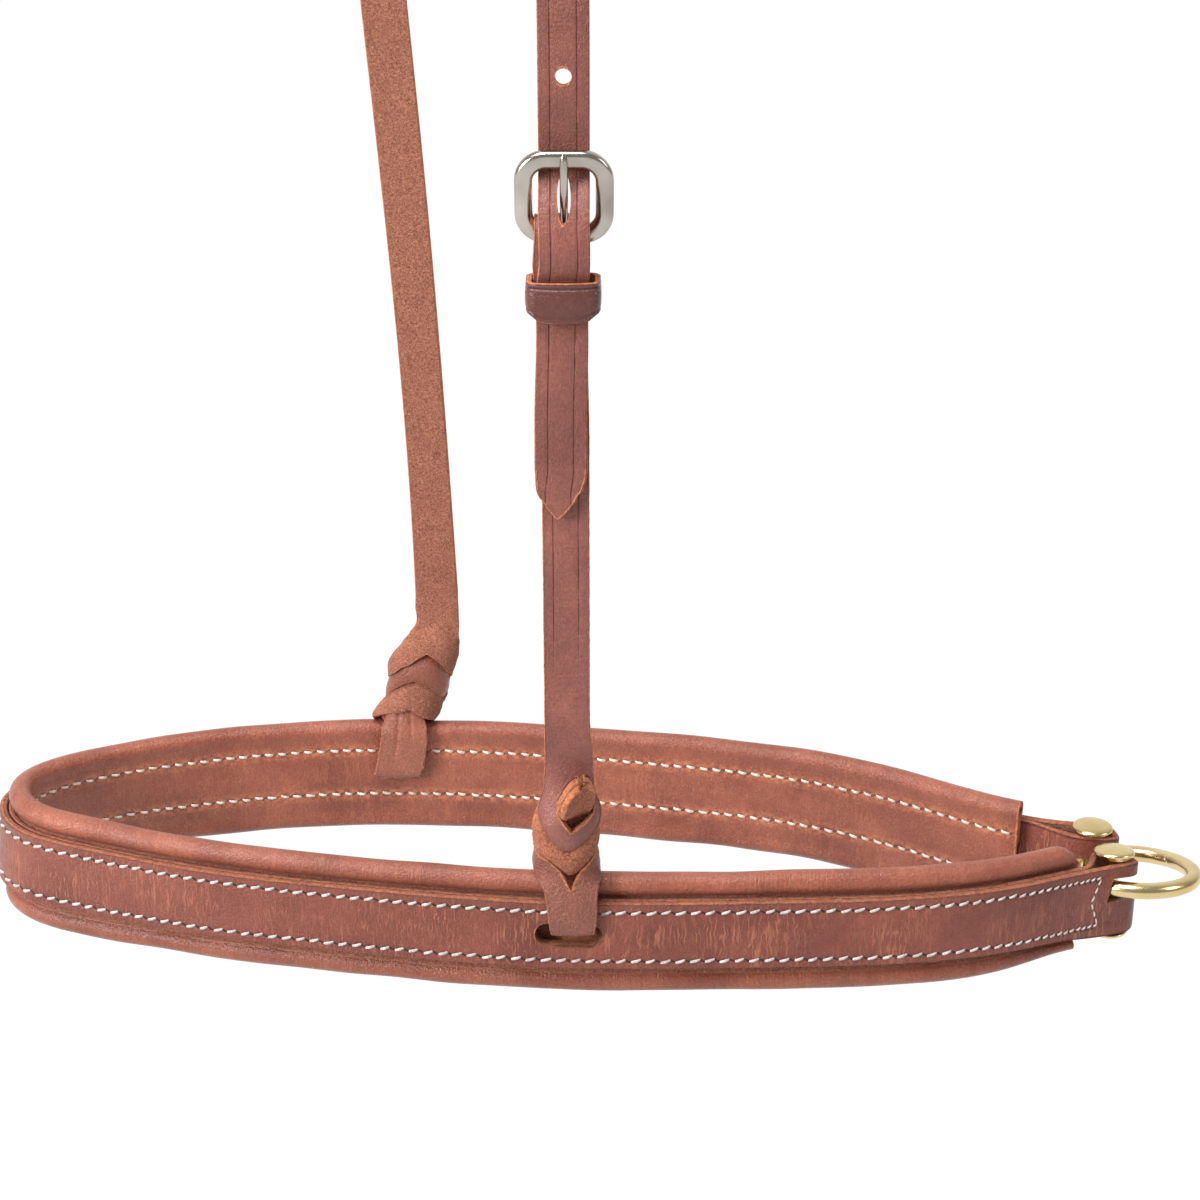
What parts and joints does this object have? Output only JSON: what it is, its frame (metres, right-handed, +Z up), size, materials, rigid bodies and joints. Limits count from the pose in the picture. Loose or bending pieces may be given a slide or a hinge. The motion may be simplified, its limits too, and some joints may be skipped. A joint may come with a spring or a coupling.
{
  "type": "noseband",
  "caption": "Stitched leather noseband with rolled edges, hung in slots from a knotted buckled strap, its folded ends joined by a ring on posts.",
  "frame": {"origin": "middle of the crown seat, the flat underside of the hanger strap where it lies over the head", "axes": "+Z up, +X to the ring end of the band, -Y to the side with the buckle"},
  "size_m": [0.3205, 0.1103, 0.4742],
  "materials": {
    "russet_leather": "waxed grain, fine wrinkles across the strap",
    "lining_leather": "soft, smooth on the rolls",
    "hanger_leather": "waxed grain outside, suede inside",
    "core_cord": "twisted cord",
    "waxed_thread": "waxed linen thread",
    "satin_brass": "satin, lightly polished",
    "satin_nickel": "satin nickel plate"
  },
  "bodies": {
    "hanger": {"crown_strap": "hanger_leather", "cheek_strap": "hanger_leather", "chape_stitch": "waxed_thread", "buckle_frame": "satin_nickel"},
    "noseband": {"lining": "lining_leather", "upper_roll_core": "core_cord", "lower_roll_core": "core_cord", "backing_strap": "russet_leather", "outer_strap": "russet_leather", "outer_upper_stitching": "waxed_thread", "outer_lower_stitching": "waxed_thread", "inner_upper_stitching": "waxed_thread", "inner_lower_stitching": "waxed_thread", "near_end_stitching": "waxed_thread", "far_end_stitching": "waxed_thread"},
    "near_post_pair": {"near_post": "satin_brass", "near_post_screw": "satin_brass"},
    "far_post_pair": {"far_post": "satin_brass", "far_post_screw": "satin_brass"},
    "tie_ring": {"ring": "satin_brass"},
    "tongue": {"buckle_tongue": "satin_nickel"},
    "sliding_keeper": {"keeper": "hanger_leather"}
  },
  "joints": [
    {"name": "noseband_rock", "type": "hinge", "parent": "hanger", "child": "noseband", "pos_m": [0.00218, 0.0063, -0.4542], "axis": [-0.4849, 0.8746, 0], "range_deg": [-5, 5]},
    {"name": "ring_swing", "type": "hinge", "parent": "noseband", "child": "tie_ring", "pos_m": [0.16464, -0.01168, -0.45407], "axis": [-0.201, 0.9647, -0.1701], "range_deg": [-12, 12]},
    {"name": "near_post_spin", "type": "hinge", "parent": "noseband", "child": "near_post_pair", "pos_m": [0.16603, -0.01833, -0.4542], "axis": [0, 0, 1], "continuous": true},
    {"name": "far_post_spin", "type": "hinge", "parent": "noseband", "child": "far_post_pair", "pos_m": [0.16326, -0.00503, -0.4542], "axis": [0, 0, 1], "continuous": true},
    {"name": "tongue_lift", "type": "hinge", "parent": "hanger", "child": "tongue", "pos_m": [0.0267, -0.0391, -0.28], "axis": [1, 0, 0], "range_deg": [0, 12]},
    {"name": "keeper_slide", "type": "slide", "parent": "hanger", "child": "sliding_keeper", "axis": [0, 0, 1], "range_m": [-0.04, 0]}
  ]
}
